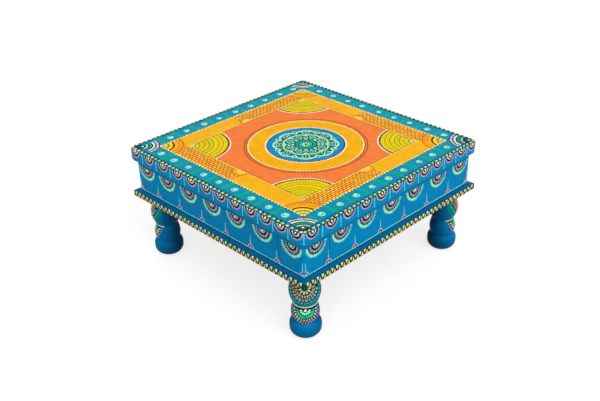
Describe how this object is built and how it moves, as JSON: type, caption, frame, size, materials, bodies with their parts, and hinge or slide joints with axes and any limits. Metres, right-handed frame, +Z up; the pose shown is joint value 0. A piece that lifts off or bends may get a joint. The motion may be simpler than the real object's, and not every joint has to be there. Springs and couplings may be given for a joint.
{
  "type": "bajot low table",
  "caption": "Low square table with a thick rounded board top on a shallow framed box, a base moulding and turned legs with square heads, painted all over.",
  "frame": {"origin": "on the floor, under the middle of the table, in the plane of the four feet", "axes": "+Z up; +X and +Y square to the sides, which are all alike"},
  "size_m": [0.305, 0.305, 0.152],
  "materials": {
    "painted_top": "hand-painted wood in orange, coral, yellow and blue fields with raised dots and lines, satin",
    "painted_side": "hand-painted wood in blue with raised scallops, satin",
    "painted_moulding": "hand-painted wood in dark blue with yellow triangles, satin",
    "painted_leg": "hand-painted turned wood in blue, satin",
    "bare_wood": "planed and left bare",
    "paint_relief": "raised dots and lines of thick paint on wood, satin",
    "screw_steel": "bright zinc"
  },
  "bodies": {
    "root": {"top_board": "painted_top", "apron_front": "painted_side", "apron_right": "painted_side", "apron_back": "painted_side", "apron_left": "painted_side", "moulding_front": "painted_moulding", "moulding_right": "painted_moulding", "moulding_back": "painted_moulding", "moulding_left": "painted_moulding", "leg_front_right": "painted_leg", "leg_back_right": "painted_leg", "leg_back_left": "painted_leg", "leg_front_left": "painted_leg", "cleat_front": "bare_wood", "cleat_right": "bare_wood", "cleat_back": "bare_wood", "cleat_left": "bare_wood", "top_screw_front_1": "screw_steel", "top_screw_front_2": "screw_steel", "top_screw_right_1": "screw_steel", "top_screw_right_2": "screw_steel", "top_screw_back_1": "screw_steel", "top_screw_back_2": "screw_steel", "top_screw_left_1": "screw_steel", "top_screw_left_2": "screw_steel", "cleat_screw_front_1": "screw_steel", "cleat_screw_front_2": "screw_steel", "cleat_screw_right_1": "screw_steel", "cleat_screw_right_2": "screw_steel", "cleat_screw_back_1": "screw_steel", "cleat_screw_back_2": "screw_steel", "cleat_screw_left_1": "screw_steel", "cleat_screw_left_2": "screw_steel", "moulding_pin_front_1": "screw_steel", "moulding_pin_front_2": "screw_steel", "moulding_pin_front_3": "screw_steel", "moulding_pin_right_1": "screw_steel", "moulding_pin_right_2": "screw_steel", "moulding_pin_right_3": "screw_steel", "moulding_pin_back_1": "screw_steel", "moulding_pin_back_2": "screw_steel", "moulding_pin_back_3": "screw_steel", "moulding_pin_left_1": "screw_steel", "moulding_pin_left_2": "screw_steel", "moulding_pin_left_3": "screw_steel"}
  },
  "joints": []
}
